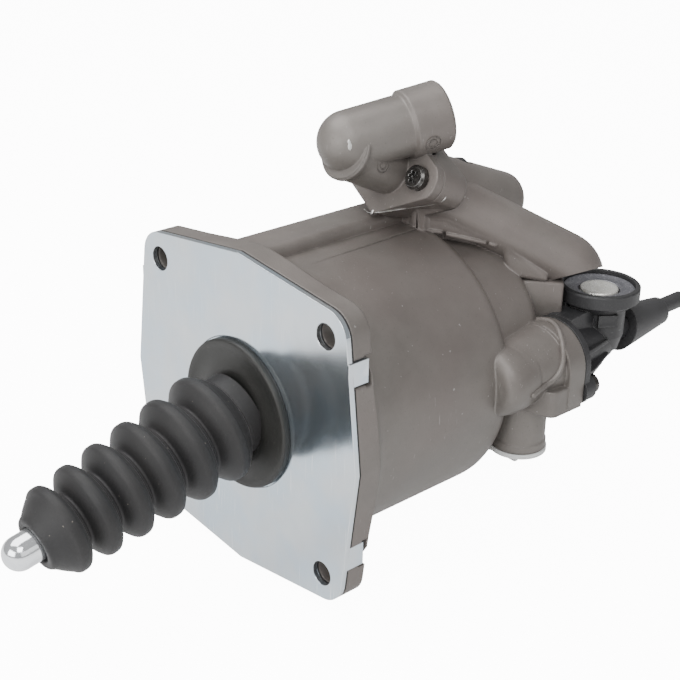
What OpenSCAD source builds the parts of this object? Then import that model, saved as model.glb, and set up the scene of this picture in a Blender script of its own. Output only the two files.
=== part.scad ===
/* [Mounting flange] */
// Distance between the mounting bolt holes, both ways
hole_pitch = 104; // [100:0.5:108]
// Diameter of the mounting bolt holes
hole_d = 10.5; // [8.5:0.5:11]
// Radius of the flange corners about the hole centres
corner_r = 11.5; // [10:0.5:12]
// Distance from the centre to the apex at the middle of each side
side_apex = 70; // [68.5:0.5:72]
// Thickness of the cast flange at its corners
flange_t = 9; // [8:0.5:11]
// Radius of the fillet between the flange and the barrel
flange_fillet = 14; // [11:0.5:14.5]

/* [Cover plate] */
// Thickness of the pressed steel cover plate
plate_t = 2.2; // [2:0.1:3]
// Thickness of the cover gasket
gasket_t = 0.8; // [0.5:0.1:1.2]
// Diameter of the plate's opening for the boot and the rod
plate_opening_d = 46; // [42:0.5:48]
// Width of the clips that hold the plate to the flange
clip_w = 10; // [8:0.5:12]
// Height of the clips above and below the middle
clip_z = 40; // [36:0.5:41]
// Thickness of a clip
clip_t = 1.6; // [1.4:0.1:2]

/* [Barrel] */
// Outer radius of the air cylinder barrel
barrel_r = 61.5; // [61:0.25:62.5]
// Radius of the air cylinder bore
bore_r = 55; // [53:0.25:56]
// Distance from the plate face to the end of the barrel's straight wall
barrel_end = 93; // [90:0.5:96]
// Radius of the rounded rear edge of the barrel
barrel_edge_r = 8.5; // [6:0.5:10]
// Distance from the plate face to the bottom of the bore
bore_end = 91; // [88:0.5:91]
// Width of the air channel rib along the top
rib_w = 20; // [16:0.5:22]
// Height of the air channel rib above the barrel
rib_h = 5.4; // [3:0.25:5.5]
// Sideways distance of the rib's middle from the centre
rib_x = 11; // [9:0.5:12]

/* [Rear housing] */
// Radius of the rear drum
drum_r = 46; // [44:0.5:47]
// Distance from the plate face to the rear of the drum
drum_end = 130; // [129:0.5:130]
// Radius of the drum's rear edge
drum_edge_r = 8; // [6:0.5:10]
// Sideways place of the drum's centre
drum_x = 7; // [5:0.5:8]
// Height of the drum's centre
drum_z = 8; // [6:0.5:9]

/* [Hydraulic cylinder] */
// Radius of the hydraulic plunger
plunger_r = 12.7; // [12:0.1:14]
// Outer radius of the sleeve that guides the plunger
sleeve_r = 21; // [20.5:0.5:23]
// Distance from the plate face to the front of the sleeve
sleeve_front = 71; // [70:0.5:74]
// Distance from the plate face to the bottom of the plunger bore
plunger_bore_end = 125.5; // [125:0.5:126]
// Running clearance of a shaft in its guide
running_gap = 0.05; // [0.02:0.01:0.1]

/* [Hydraulic inlet] */
// Tilt of the inlet boss, measured from the barrel's axis
inlet_tilt = 25; // [23:0.5:26]
// Distance from the plate face to the middle of the inlet joint
inlet_y = 85.5; // [84:0.5:88]
// Height of the middle of the inlet joint
inlet_z = 86; // [85:0.5:88]
// Thickness of the two-screw part of the inlet boss
inlet_foot_t = 15; // [14:0.5:16]
// Radius of the long inlet boss
inlet_boss_r = 13.5; // [12:0.25:14]
// Length of the long inlet boss behind the joint
inlet_boss_l = 74; // [66:1:76]
// Sideways place of the long inlet boss
inlet_boss_x = 4; // [2:0.5:5]
// Downward tilt of the long inlet boss
inlet_boss_tilt = 21; // [19:0.5:23]
// Distance of the two joint screws from the middle
inlet_screw_x = 18.5; // [18:0.25:20]
// Radius of the joint's ends about the screws
inlet_lug_r = 9.5; // [9:0.25:10]
// Half height of the joint's outline
inlet_half_h = 19.5; // [18:0.25:20]
// Thickness of the elbow's joint plate
elbow_plate_t = 5; // [4:0.25:6]
// Radius of the elbow's arm
elbow_arm_r = 13.1; // [12:0.1:13.5]
// Radius of the elbow's mouth
elbow_mouth_r = 14.5; // [13.6:0.1:15]
// Distance from the plate face to the end of the elbow's mouth
elbow_mouth_y = 101.8; // [100:0.5:104]
// Upward tilt of the elbow's arm
elbow_tilt = 11; // [6:0.5:13]
// Angle by which the arm turns towards the valve side, in degrees
elbow_turn = 20.4; // [14:0.2:24]
// Height of the elbow's arm above the barrel's axis
elbow_z = 103.2; // [102:0.2:105]
// Diameter of the hydraulic port in the elbow's mouth
inlet_port_d = 22; // [18:0.5:23]
// Depth of the hydraulic port
inlet_port_depth = 17; // [12:0.5:20]
// Radius of the drilled oil passages
oil_way_r = 3.5; // [2.5:0.25:4]

/* [Crossing tube] */
// Radius of the tube that crosses the rear of the barrel
tube_r = 11.7; // [11:0.1:12.5]
// Downward tilt of the tube
tube_tilt = 25.4; // [24:0.2:27]
// Gap between the tube's end and the middle of the vent's cup
tube_gap = 3; // [0:0.5:6]

/* [Relay valve block] */
// Sideways place of the relay valve's axis
valve_x = 57; // [56:0.25:58]
// Height of the relay valve's axis
valve_z = 6; // [5:0.25:7]
// Half width of the block's rear face
block_r = 18.5; // [18:0.25:19]
// Height of the block below the valve's axis
block_drop = 16.8; // [16:0.25:18]
// Distance from the plate face to the block's rear face
block_end = 130; // [129:0.5:132]
// Thickness of the block's rear collar
collar_t = 10; // [8:0.5:12]
// Radius of the relay valve bore
valve_bore_r = 9; // [8:0.25:9.5]
// Distance from the plate face to the bottom of the relay valve bore
valve_bore_start = 96; // [94:0.5:98]

/* [Air port] */
// Sideways place of the air port
port_x = 52.5; // [51:0.25:55]
// Distance of the air port from the plate face
port_y = 116.5; // [115:0.25:117]
// Outer radius of the air port boss
port_r = 11.75; // [11:0.25:13]
// Distance of the air port's mouth below the barrel's axis
port_drop = 33; // [31:0.5:36]
// Diameter of the air port's threaded bore
port_bore_d = 14.5; // [12:0.25:15]
// Depth of the air port's threaded bore
port_depth = 18; // [14:0.5:20]

/* [Rod and boot] */
// Radius of the push rod
rod_r = 6.9; // [6.5:0.1:7.2]
// Radius of the rod's ball end
ball_r = 9; // [8.5:0.1:9.2]
// Distance from the plate face back to the rod's ball
ball_y = 22; // [21.5:0.5:22.5]
// Length of the rod from the ball's centre to the centre of its round tip
rod_l = 128.4; // [125:0.5:132]
// Angle by which the loose rod hangs down
rod_droop = 10.64; // [10:0.1:11]
// Radius of the boot's flange
boot_flange_r = 32; // [29:0.5:34]
// Thickness of the boot's flange
boot_flange_t = 3; // [2:0.25:4]
// Number of folds of the boot
folds = 6; // [5:1:6]
// Distance of the first fold's crest from the plate face
fold_start = 15.6; // [15:0.1:16.5]
// Distance between the first two folds
fold_pitch = 15.9; // [15.5:0.1:16]
// Loss of distance from fold to fold towards the tip
fold_squeeze = 0.32; // [0.2:0.02:0.4]
// Radius of the first fold's crest
fold_r = 23.5; // [22:0.1:24]
// Radius of the last fold's crest
fold_last_r = 18.6; // [17.5:0.1:19.2]
// Depth of a fold
fold_depth = 7; // [5:0.2:7.4]
// Downward tilt of the boot
boot_tilt = 14; // [13.5:0.1:14.5]
// Radius of the boot's neck behind the first fold
boot_neck_r = 17.5; // [16.8:0.1:18]
// Wall of the boot
boot_wall = 1.8; // [1.5:0.1:2]

/* [Air piston] */
// Clearance between the piston's edge and the bore
piston_gap = 0.4; // [0.3:0.05:0.8]
// Thickness of the piston's edge
piston_t = 16; // [15:0.5:17]
// Wire radius of the preload spring
spring_wire_r = 1.8; // [1.4:0.1:2]
// Number of coils of the preload spring
spring_coils = 5; // [4:1:6]
// Radius of the preload spring's wide end
spring_wide_r = 46; // [42:0.5:48]

/* [Vent] */
// Distance from the plate face to the cup's centre
cup_y = 162; // [160:0.5:163]
// Sideways place of the cup's centre
cup_x = 55; // [54:0.5:56]
// Outer radius of the cup
cup_r = 18.3; // [17.5:0.1:19]
// Height of the cup's rim
cup_top = 32.5; // [31:0.5:33]
// Depth of the cup
cup_depth = 5; // [4:0.25:6]
// Thickness of the vent's fixing plate
vent_plate_t = 3.2; // [2.5:0.1:4]
// Radius of the stem under the cup
stem_r = 11; // [10:0.25:12]

/* [Hidden] */
$fn = 96;
half_pitch = hole_pitch / 2;
flange_front = plate_t + gasket_t;
flange_back = flange_front + flange_t;
clip_recess = 1.4;
clip_ledge = 5.4;
inlet_turn = 90 - inlet_tilt;
tube_y = 100;
ledge_z = 37.5;
tube_z = 76.6;
tube_l = (cup_y - tube_gap - tube_y) / (cos(tube_tilt) * cos(45));
tube_end_r = 22;
tube_dome_l = sqrt(tube_end_r ^ 2 - (tube_end_r - tube_r) ^ 2);
screw_hole_r = 2.5;
clearance_hole_r = 3;
plunger_front = ball_y + 11;
plunger_back = plunger_bore_end - 35.5;
boot_rise = 1.3;
boot_seat_t = 0.4;
piston_front = ball_y - 12;
piston_back = piston_front + piston_t;
piston_r = bore_r - piston_gap;
rim_front = plate_t + 0.1;
web_front = piston_front + 6;
web_back = web_front + 6;
hub_r = 19;
hub_back = ball_y + 14;
seat_r = 13;
clip_front = ball_y - 6;
guide_pocket_r = 17.5;
bush_y = sleeve_front + 3;
bush_l = 6;
seal_y = bush_y + bush_l;
seal_l = 5;
relay_front = valve_bore_start + 5;
relay_head = 5;
valve_seat_y = valve_bore_start + 12.5;
valve_seat_t = 3;
valve_travel = 2.5;
guide_y = valve_seat_y + valve_seat_t + 9.5;
vent_gasket_t = 0.6;
vent_y = block_end + vent_gasket_t;
vent_back = vent_y + vent_plate_t;
vent_screw_at = [[14, -10.5], [-11.5, 8.3]];
vent_lug_t = 3.2;
cup_floor = cup_top - cup_depth;
spout_z = 7.2;
bleed_x = 1.8;
bleed_y = 122.6;
bleed_z = 76.4;

// Points on an arc about c, from angle a0 to a1
function arc(c, r, a0, a1, n = 8) =
    [for (i = [0 : n]) c + r * [cos(a0 + (a1 - a0) * i / n), sin(a0 + (a1 - a0) * i / n)]];

// Angle by which a side leans towards its apex, so that it just meets the corner arc
side_lean = atan((side_apex - half_pitch) / half_pitch)
    - asin(corner_r / norm([half_pitch, side_apex - half_pitch]));

// One quarter of the flange outline, from the apex at the right to the top
function flange_quarter() = concat(
    [[side_apex, 0]],
    arc([half_pitch, half_pitch], corner_r, side_lean, 90 - side_lean, 10));

function turned(points, a) =
    [for (p = points) [p[0] * cos(a) - p[1] * sin(a), p[0] * sin(a) + p[1] * cos(a)]];

module flange_outline() {
    q = flange_quarter();
    polygon(concat(q, turned(q, 90), turned(q, 180), turned(q, 270)));
}

// A solid of revolution about the barrel's axis, from [radius, distance] points
module lathe(points) {
    rotate([-90, 0, 0]) rotate_extrude() polygon(points);
}

// A cylinder along the barrel's axis direction, from y0 to y1
module along_y(y0, y1, r, r2 = undef, x = 0, z = 0) {
    translate([x, y0, z]) rotate([-90, 0, 0]) cylinder(h = y1 - y0, r1 = r, r2 = is_undef(r2) ? r : r2);
}

// An outline in the width and height plane, from y0 to y1
module upright(y0, y1) {
    translate([0, y1, 0]) rotate([90, 0, 0]) linear_extrude(y1 - y0) children();
}

// The frame of the inlet joint: its Z axis points out of the boss
module at_inlet() {
    translate([0, inlet_y, inlet_z]) rotate([inlet_turn, 0, 0]) children();
}

// The frame of the crossing tube: its Z axis runs down the tube
module at_tube() {
    translate([0, tube_y, tube_z]) rotate([0, 90 + tube_tilt, 45]) children();
}

// Outline of the two-screw inlet joint
module joint_outline(grow = 0) {
    lug = inlet_lug_r + grow;
    apex_r = 6 + grow;
    apex = inlet_half_h - 6;
    lean = 90 - atan2(apex, inlet_screw_x) - asin((lug - apex_r) / norm([apex, inlet_screw_x]));
    polygon(concat(
        arc([inlet_screw_x, 0], lug, -lean, lean, 8),
        arc([0, apex], apex_r, lean, 180 - lean, 8),
        arc([-inlet_screw_x, 0], lug, 180 - lean, 180 + lean, 8),
        arc([0, -apex], apex_r, 180 + lean, 360 - lean, 8)));
}

// Outline of the valve block's rear face
module block_outline(shrink = 0) {
    r = block_r - shrink;
    foot = -block_drop + shrink;
    corner = 3;
    translate([valve_x, valve_z]) polygon(concat(
        arc([0, 0], r, 0, 180, 24),
        arc([-r + corner, foot + corner], corner, 180, 270, 4),
        arc([r - corner, foot + corner], corner, 270, 360, 4)));
}

module bolt_holes(y0, y1) {
    for (sx = [-1, 1], sz = [-1, 1]) {
        along_y(y0, y1, hole_d / 2, x = sx * half_pitch, z = sz * half_pitch);
    }
}

module clip_places() {
    for (sx = [-1, 1], sz = [-1, 1]) {
        translate([0, 0, sz * clip_z]) scale([sx, 1, 1]) children();
    }
}

// Distance from the middle to the flange's side at the clips
clip_x = side_apex - clip_z * tan(side_lean) - 0.3;

module flange_solid() {
    difference() {
        upright(flange_front, flange_back) flange_outline();
        clip_places() {
            translate([clip_x - clip_recess, 0, -clip_w / 2 - 0.6]) {
                cube([10, flange_back + 1, clip_w + 1.2]);
            }
            translate([clip_x - 6, flange_front + clip_ledge, -clip_w / 2 - 1.5]) {
                cube([10, flange_t, clip_w + 3]);
            }
        }
    }
    intersection() {
        upright(flange_back - 0.5, flange_back + flange_fillet) flange_outline();
        lathe(concat(
            [[bore_r + 2, flange_back - 0.5], [barrel_r + flange_fillet, flange_back - 0.5]],
            arc([barrel_r + flange_fillet, flange_back + flange_fillet], flange_fillet, 270, 180, 12),
            [[bore_r + 2, flange_back + flange_fillet]]));
    }
}

module barrel_solid() {
    lathe(concat(
        [[0, flange_front], [barrel_r, flange_front]],
        arc([barrel_r - barrel_edge_r, barrel_end], barrel_edge_r, 0, 90, 8),
        [[0, barrel_end + barrel_edge_r]]));
    along_y(barrel_end + 1, barrel_end + 26, barrel_r - 1.5, drum_r + 0.5);
}

module drum_solid() {
    translate([drum_x, 0, drum_z]) lathe(concat(
        [[0, barrel_end - 5], [drum_r, barrel_end - 5]],
        arc([drum_r - drum_edge_r, drum_end - drum_edge_r], drum_edge_r, 0, 90, 8),
        [[0, drum_end]]));
}

// The air channel rib along the barrel's top
module rib_solid() {
    edge = 3;
    top = barrel_r + rib_h;
    upright(flange_back - 1, barrel_end + 7) polygon(concat(
        [[-rib_x - rib_w / 2, barrel_r - 14]],
        [[-rib_x + rib_w / 2, barrel_r - 14]],
        arc([-rib_x + rib_w / 2 - edge, top - edge], edge, 0, 90, 4),
        arc([-rib_x - rib_w / 2 + edge, top - edge], edge, 90, 180, 4)));
}

// The two-screw foot under the elbow, the long boss behind it and its web
module inlet_solid() {
    at_inlet() {
        translate([0, 0, -inlet_foot_t]) linear_extrude(inlet_foot_t) joint_outline();
        translate([0, 0, -inlet_foot_t - 8]) cylinder(h = 10, r1 = inlet_boss_r - 1, r2 = inlet_boss_r + 3);
    }
    edge = 6;
    translate([inlet_boss_x, inlet_y - 0.8, inlet_z - 1.1]) rotate([-90 - inlet_boss_tilt, 0, 0]) {
        rotate_extrude() polygon(concat(
            [[0, 8], [inlet_boss_r, 8]],
            arc([inlet_boss_r - edge, inlet_boss_l - edge], edge, 0, 90, 6),
            [[0, inlet_boss_l]]));
    }
    translate([inlet_boss_x - 7, 0, 0]) rotate([90, 0, 90]) linear_extrude(14) polygon([
        [barrel_end - 6, barrel_r - 8], [drum_end - 2, drum_r - 2], [drum_end + 14, inlet_z - 30],
        [inlet_y + 20, inlet_z - 10], [barrel_end - 6, inlet_z - 8]]);
    translate([bleed_x, bleed_y, bleed_z - 16]) cylinder(h = 16, r = 6.5);
}

// The tube across the rear, its domed end and the wall that carries it
module tube_solid() {
    at_tube() {
        rotate_extrude() polygon(concat(
            [[0, 0], [tube_r, 0]],
            arc([tube_r - tube_end_r, tube_l - tube_dome_l], tube_end_r, 0,
                acos(1 - tube_r / tube_end_r), 10)));
        translate([0, 0, -4]) cylinder(h = 20, r1 = tube_r + 4.5, r2 = tube_r);
    }
    translate([0, tube_y, 0]) rotate([90, 0, 45]) {
        translate([0, 0, -4]) linear_extrude(8) polygon([
            [-4, drum_r - 4], [40, 14], [49, 14], [49, 21.5], [62, 21.5],
            [62, 26], [64, 26], [64, tube_z - 65 * tan(tube_tilt)], [0, tube_z - 3]]);
        translate([0, 0, -4]) linear_extrude(13) polygon([
            [0, drum_r - 20], [38, 14], [47, 14], [47, 25.5], [57, 25.5], [57, ledge_z - 1],
            [56, ledge_z], [0, ledge_z]]);
    }
}

module block_solid() {
    body_y = valve_bore_start + 2;
    foot = valve_z - block_drop;
    edge = 5;
    upright(block_end - collar_t, block_end) block_outline();
    translate([valve_x - 1.5, 0, valve_z]) lathe(concat(
        [[0, body_y]],
        arc([block_r - 3.5 - edge, body_y + edge], edge, 270, 350, 5),
        [[block_r - 0.8, block_end - collar_t + 0.5], [0, block_end - collar_t + 0.5]]));
    along_y(valve_bore_start - 6, body_y + 1, 9.5, 10.5, valve_x - 1, valve_z - 3);
    translate([0, 0, foot]) linear_extrude(12) polygon(concat(
        [[drum_x + 20, port_y - 6], [port_x + 2, port_y - port_r + 0.5]],
        arc([valve_x + block_r - 4.5, port_y - 3], 4, -60, 0, 4),
        [[valve_x + block_r - 0.3, block_end - 0.5], [drum_x + 20, block_end - 0.5]]));
    translate([port_x, port_y, -port_drop]) {
        cylinder(h = port_drop, r = port_r);
        cylinder(h = 3.4, r1 = port_r + 0.5, r2 = port_r + 0.5);
        translate([0, 0, 3.4]) cylinder(h = 0.8, r1 = port_r + 0.5, r2 = port_r);
    }
    upright(port_y - 8, port_y + 6) polygon([
        [drum_x + 10, -drum_r + drum_z + 8], [port_x, -port_drop + 8], [port_x, 0], [drum_x + 10, 0]]);
}

module oil_ways() {
    at_inlet() translate([0, 0, -46]) cylinder(h = 47, r = oil_way_r);
    at_tube() cylinder(h = tube_l - 20, r = oil_way_r);
    translate([plunger_r - 4, valve_bore_start + 2.5, valve_z + 3]) rotate([0, 90, 0]) {
        cylinder(h = valve_x - plunger_r - 2, r = 2);
    }
    translate([bleed_x, bleed_y, 0]) cylinder(h = bleed_z + 1, r = 3);
}

module air_ways() {
    along_y(bore_end - 3, valve_seat_y - 1, 2.5, x = valve_x - 13, z = valve_z - 6);
    translate([valve_x - 13, valve_seat_y - 2.5, valve_z - 6]) rotate([0, 90, 0]) cylinder(h = 8, r = 2);
    translate([port_x, port_y, -port_drop - 1]) cylinder(h = port_depth + 1, d = port_bore_d);
    translate([port_x, port_y, -port_drop]) cylinder(h = port_drop + valve_z - 4, r = 4);
}

module housing() {
    color([0.53, 0.50, 0.47]) difference() {
        union() {
            flange_solid();
            barrel_solid();
            drum_solid();
            rib_solid();
            inlet_solid();
            tube_solid();
            block_solid();
        }
        bolt_holes(0, flange_back + 20);
        for (sx = [-1, 1], sz = [-1, 1]) {
            along_y(flange_back, flange_back + 20, 10, x = sx * half_pitch, z = sz * half_pitch);
        }
        difference() {
            along_y(0, bore_end, bore_r);
            along_y(sleeve_front, bore_end + 1, sleeve_r);
        }
        along_y(0, flange_front + 2, bore_r + 2, bore_r);
        along_y(sleeve_front - 1, plunger_bore_end, plunger_r + running_gap);
        along_y(sleeve_front - 1, seal_y + seal_l, guide_pocket_r);
        along_y(sleeve_front + 1.2, sleeve_front + 2.8, guide_pocket_r + 1);
        along_y(valve_bore_start, block_end + 1, valve_bore_r, x = valve_x, z = valve_z);
        for (p = vent_screw_at) {
            along_y(block_end - 13, block_end + 1, screw_hole_r, x = valve_x + p[0], z = valve_z + p[1]);
        }
        at_inlet() for (sx = [-1, 1]) {
            translate([sx * inlet_screw_x, 0, -13]) cylinder(h = 14, r = screw_hole_r);
        }
        at_arm() along_y(inlet_y - 30, elbow_mouth_y + 4, elbow_mouth_r + 0.8);
        translate([bleed_x, bleed_y, bleed_z]) cylinder(h = 12, r = 6.5);
        oil_ways();
        air_ways();
    }
}

module cover_plate() {
    clip_in = clip_x - clip_recess + 0.1;
    color([0.75, 0.76, 0.78]) difference() {
        union() {
            upright(0, plate_t) flange_outline();
            clip_places() {
                translate([clip_in, 0, -clip_w / 2]) {
                    cube([clip_t, flange_front + clip_ledge + 0.1 + clip_t, clip_w]);
                }
                translate([clip_in - 3.4, flange_front + clip_ledge + 0.1, -clip_w / 2]) {
                    cube([4, clip_t, clip_w]);
                }
            }
        }
        bolt_holes(-1, plate_t + 1);
        along_y(-1, plate_t + 1, plate_opening_d / 2);
        along_y(-1, boot_seat_t, boot_flange_r + 0.6);
    }
}

module cover_gasket() {
    color([0.06, 0.06, 0.06]) difference() {
        upright(plate_t, flange_front) difference() {
            flange_outline();
            circle(r = bore_r + 1.5);
            for (sx = [-1, 1], sz = [-1, 1]) {
                translate([sx * (clip_x - clip_recess) - (sx < 0 ? 10 : 0), sz * clip_z - clip_w / 2 - 0.6]) {
                    square([10, clip_w + 1.2]);
                }
            }
        }
        bolt_holes(0, flange_front + 1);
    }
}

// Distance of fold i's crest along the boot's axis, and its radius
function fold_at(i) = (fold_start + fold_pitch * i - fold_squeeze * i * i) / cos(boot_tilt);
function crest_r(i) = fold_r + (fold_last_r - fold_r) * i / (folds - 1);

// The boot's axis: Z runs from inside the plate's opening towards the rod's tip
module at_boot() {
    translate([0, 0, boot_rise]) rotate([90 + boot_tilt, 0, 0]) children();
}

// Profile of the folds, with the surface moved in by the given wall
module fold_profile(wall, front_y) {
    round_r = 2.6;
    polygon(concat(
        [[0, -16], [boot_neck_r - wall, -16], [boot_neck_r - wall, fold_at(0) - 8.2]],
        [for (i = [0 : folds - 1]) each concat(
            i == 0 ? [[crest_r(0) - fold_depth - wall, fold_at(0) - 7.4]] : [],
            arc([crest_r(i) - round_r - wall, fold_at(i) - 0.6], round_r, -58, 0, 3),
            arc([crest_r(i) - round_r - wall, fold_at(i) + 0.6], round_r, 0, 58, 3),
            i < folds - 1 ? [[crest_r(i + 1) - fold_depth - wall, (fold_at(i) + fold_at(i + 1)) / 2]] : [])],
        [[rod_r + 5 - wall, front_y - 2], [rod_r + 3.4 - wall, front_y], [0, front_y]]));
}

module boot() {
    lip_back = plate_t + 0.05;
    front = fold_at(folds - 1) + 11;
    color([0.10, 0.10, 0.10]) difference() {
        union() {
            lathe([
                [0, -boot_flange_t], [boot_flange_r - 1, -boot_flange_t],
                [boot_flange_r, -boot_flange_t + 1], [boot_flange_r, boot_seat_t - 0.02],
                [plate_opening_d / 2 - 0.05, boot_seat_t - 0.02], [plate_opening_d / 2 - 0.05, lip_back],
                [plate_opening_d / 2 + 2, lip_back], [plate_opening_d / 2 + 1, lip_back + 1.6],
                [0, lip_back + 1.6]]);
            intersection() {
                at_boot() rotate_extrude() fold_profile(0, front);
                translate([-60, -160, -80]) cube([120, 160, 120]);
            }
        }
        at_boot() rotate_extrude() fold_profile(boot_wall, front - 2.4);
        at_rod() translate([0, 0, 60]) cylinder(h = 80, r = rod_r + 0.3);
    }
}

// The frame of the hanging rod: its Z axis runs from the ball's centre to the tip
module at_rod() {
    translate([0, ball_y, 0]) rotate([90 + rod_droop, 0, 0]) children();
}

module pushrod() {
    color([0.72, 0.73, 0.74]) at_rod() {
        sphere(r = ball_r);
        cylinder(h = 22, r = 5.5);
        translate([0, 0, 16]) cylinder(h = 4, r1 = 5.5, r2 = rod_r);
        translate([0, 0, 20]) cylinder(h = rod_l - 20, r = rod_r);
        translate([0, 0, rod_l]) sphere(r = rod_r);
    }
}

module ball_seat() {
    color([0.85, 0.83, 0.75]) difference() {
        along_y(ball_y, ball_y + 10.5, seat_r - 0.02);
        translate([0, ball_y, 0]) sphere(r = ball_r + 0.05);
    }
}

module rod_clip() {
    color([0.35, 0.35, 0.37]) difference() {
        along_y(clip_front, clip_front + 1.5, seat_r + 1);
        along_y(clip_front - 1, clip_front + 2, 8.3);
        translate([-3, clip_front - 1, -seat_r - 2]) cube([6, 4, 9]);
    }
}

module air_piston() {
    groove = 3;
    color([0.70, 0.71, 0.72]) difference() {
        lathe([
            [0, piston_front], [hub_r, piston_front], [hub_r + 4, web_front],
            [piston_r - 8, web_front], [piston_r - 6, rim_front], [piston_r - 1, rim_front],
            [piston_r, rim_front + 1], [piston_r, piston_front + 4],
            [piston_r - groove, piston_front + 4], [piston_r - groove, piston_front + 8],
            [piston_r, piston_front + 8], [piston_r, piston_front + 10],
            [piston_r - groove, piston_front + 10], [piston_r - groove, piston_back],
            [piston_r - 6, piston_back], [piston_r - 8, web_back], [hub_r, web_back],
            [hub_r, hub_back], [0, hub_back]]);
        along_y(piston_front - 1, ball_y + 10.5, seat_r);
        along_y(clip_front, clip_front + 1.5, seat_r + 1.02);
        along_y(plunger_front, hub_back + 1, plunger_r + 0.02);
    }
}

module piston_guide_ring() {
    color([0.80, 0.78, 0.70]) difference() {
        along_y(piston_front + 4.05, piston_front + 7.95, bore_r - 0.08);
        along_y(piston_front, piston_front + 9, piston_r - 2.98);
    }
}

module piston_lip_seal() {
    y = piston_front + 10.05;
    inner = piston_r - 2.98;
    color([0.07, 0.07, 0.07]) lathe([
        [inner, y], [bore_r - 1, y], [bore_r - 0.06, y + 5], [bore_r - 0.06, y + 5.6],
        [bore_r - 1, y + 5.6], [inner + 1, y + 2.2], [inner + 0.6, y + 5.4], [inner, y + 5.4]]);
}

// A round wire coil about the barrel's axis, from y0 to y1, with its radius going from r0 to r1
module coil(y0, y1, r0, r1, wire, turns, steps = 28, sides = 8) {
    n = turns * steps;
    flat = 0.75;
    function rise(i) =
        let (t = i / steps, body = turns - 2 * flat)
        t < flat ? 0 : (t > turns - flat ? 1 : (t - flat) / body);
    function mid_y(i) = y0 + wire + (y1 - y0 - 2 * wire) * rise(i);
    function mid_r(i) = r0 + (r1 - r0) * i / n;
    points = [for (i = [0 : n], k = [0 : sides - 1])
        let (a = 360 * i / steps, b = 360 * (k + 0.5) / sides, r = mid_r(i) + wire * cos(b))
        [r * cos(a), mid_y(i) + wire * sin(b), r * sin(a)]];
    walls = [for (i = [0 : n - 1], k = [0 : sides - 1], h = [0, 1])
        let (p = i * sides + k, q = i * sides + (k + 1) % sides)
        h == 0 ? [p, q, p + sides] : [q, q + sides, p + sides]];
    front = [for (k = [1 : sides - 2]) [0, k + 1, k]];
    rear = [for (k = [1 : sides - 2]) [n * sides, n * sides + k, n * sides + k + 1]];
    polyhedron(points, concat(walls, front, rear), convexity = 10);
}

module preload_spring() {
    color([0.45, 0.46, 0.48]) {
        coil(web_back + 0.1, bore_end - 0.1, hub_r + spring_wire_r + 1, spring_wide_r, spring_wire_r, spring_coils);
    }
}

module plunger() {
    color([0.78, 0.79, 0.80]) difference() {
        lathe([
            [0, plunger_front], [plunger_r, plunger_front], [plunger_r, plunger_back - 1.5],
            [plunger_r - 1.5, plunger_back], [0, plunger_back]]);
        along_y(plunger_back - 25, plunger_back + 1, 7);
    }
}

module plunger_seal() {
    inner = plunger_r + running_gap;
    color([0.07, 0.07, 0.07]) lathe([
        [inner, seal_y + 0.1], [guide_pocket_r - 0.03, seal_y + 0.1], [guide_pocket_r - 0.03, seal_y + seal_l - 0.1],
        [guide_pocket_r - 1.2, seal_y + seal_l - 0.1], [guide_pocket_r - 2.2, seal_y + 2],
        [inner + 1.2, seal_y + seal_l - 0.1], [inner, seal_y + seal_l - 0.1]]);
}

module plunger_bush() {
    color([0.62, 0.52, 0.30]) difference() {
        along_y(bush_y, bush_y + bush_l, guide_pocket_r - 0.02);
        along_y(bush_y - 1, bush_y + bush_l + 1, plunger_r + running_gap);
    }
}

module plunger_circlip() {
    color([0.30, 0.30, 0.32]) difference() {
        along_y(sleeve_front + 1.25, sleeve_front + 2.75, guide_pocket_r + 0.95);
        along_y(sleeve_front, sleeve_front + 4, guide_pocket_r - 3);
        translate([-4, sleeve_front, -guide_pocket_r - 2]) cube([8, 4, 7]);
    }
}

module at_arm() {
    translate([-1.7, inlet_y - 26, elbow_z]) rotate([elbow_tilt, 0, -elbow_turn])
        translate([0, -inlet_y + 26, 0]) children();
}

module elbow() {
    dome_y = inlet_y - 26;
    step_y = elbow_mouth_y - 18;
    neck_l = 33.5;
    color([0.53, 0.50, 0.47]) difference() {
        union() {
            at_inlet() {
                linear_extrude(elbow_plate_t) joint_outline();
                cylinder(h = neck_l - 6, r = 11);
                translate([0, 1.2, neck_l - 12]) cylinder(h = 12, r1 = 11, r2 = 12.2);
                translate([0, 1.2, neck_l - 2.2]) cylinder(h = 1.6, r = 12.9);
            }
            at_arm() {
                along_y(dome_y, elbow_mouth_y - 2, elbow_arm_r);
                translate([0, dome_y, 0]) sphere(r = elbow_arm_r);
                lathe([
                    [0, step_y], [elbow_arm_r, step_y], [elbow_mouth_r, step_y + 1.4],
                    [elbow_mouth_r + 0.1, elbow_mouth_y - 1], [elbow_mouth_r - 0.7, elbow_mouth_y],
                    [0, elbow_mouth_y]]);
            }
        }
        at_inlet() {
            for (sx = [-1, 1]) {
                translate([sx * inlet_screw_x, 0, -1]) cylinder(h = elbow_plate_t + 2, r = clearance_hole_r);
                translate([sx * inlet_screw_x, 0, elbow_plate_t]) cylinder(h = 12, r = 6);
            }
            translate([0, 0, -1]) cylinder(h = neck_l - 1, r = oil_way_r);
            translate([0, 0, -1]) cylinder(h = 2.9, r = 7.5);
        }
        at_arm() {
            along_y(dome_y, elbow_mouth_y, oil_way_r);
            translate([0, dome_y, 0]) sphere(r = oil_way_r + 2);
            along_y(elbow_mouth_y - inlet_port_depth, elbow_mouth_y + 1, inlet_port_d / 2);
            along_y(elbow_mouth_y - 1.5, elbow_mouth_y + 0.01, inlet_port_d / 2, inlet_port_d / 2 + 1.5);
        }
    }
}

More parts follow.
